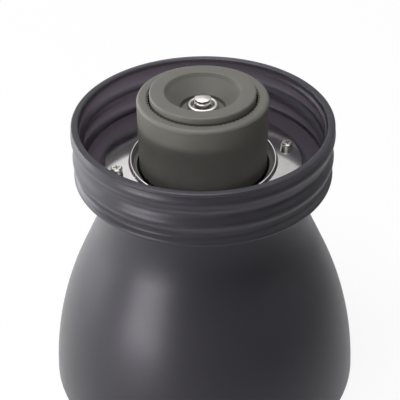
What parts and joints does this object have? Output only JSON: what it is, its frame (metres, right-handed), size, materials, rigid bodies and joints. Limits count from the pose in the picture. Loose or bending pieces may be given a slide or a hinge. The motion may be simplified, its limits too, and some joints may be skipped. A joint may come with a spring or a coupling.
{
  "type": "hand mill grinding head",
  "caption": "Grinding head of a hand mill: a bell-shaped hopper with a jar collar, a conical burr on a driven shaft and a click-stop grind adjuster, shown upside down.",
  "frame": {"origin": "middle of the hopper's mouth, on the surface that the head stands on", "axes": "+Z along the shaft, from the hopper's mouth to the grind adjuster; +X to the right in the picture"},
  "size_m": [0.0939, 0.094, 0.0964],
  "materials": {
    "smoke_plastic": "translucent smoke-grey moulding, frosted",
    "dark_plastic": "moulded, matt",
    "grey_plastic": "moulded, fine matt",
    "steel": "stainless, turned or pressed",
    "ceramic": "fired, satin",
    "brass": "turned",
    "slip_plastic": "natural low-friction plastic"
  },
  "bodies": {
    "hopper": {"hopper_shell": "smoke_plastic", "burr_housing": "dark_plastic", "outer_burr": "ceramic", "burr_plate": "steel", "plate_screws": "steel", "bush_lower": "slip_plastic", "bush_upper": "slip_plastic"},
    "drive": {"drive_shaft": "steel", "thrust_washer": "steel", "shaft_clip": "steel", "burr_spring": "steel", "click_disc": "grey_plastic", "click_spring": "steel", "cap_bush": "steel", "tip_clip": "steel"},
    "cone": {"inner_burr": "ceramic", "burr_insert": "dark_plastic"},
    "knob": {"adjuster_knob": "grey_plastic", "knob_nut": "brass", "knob_washer": "slip_plastic"}
  },
  "joints": [
    {"name": "crank_spin", "type": "hinge", "parent": "hopper", "child": "drive", "pos_m": [0, 0, 0.042], "axis": [0, 0, 1], "continuous": true},
    {"name": "burr_lift", "type": "slide", "parent": "drive", "child": "cone", "axis": [0, 0, 1], "range_m": [-0.002, 0], "deforming": ["burr_spring"]},
    {"name": "adjuster_turn", "type": "hinge", "parent": "cone", "child": "knob", "pos_m": [0, 0, 0.08], "axis": [0, 0, 1], "range_deg": [-720, 0], "deforming": ["click_spring"]}
  ],
  "couplings": [
    {"joint": "adjuster_turn", "follows": "burr_lift", "rad_per_m": 6283}
  ]
}
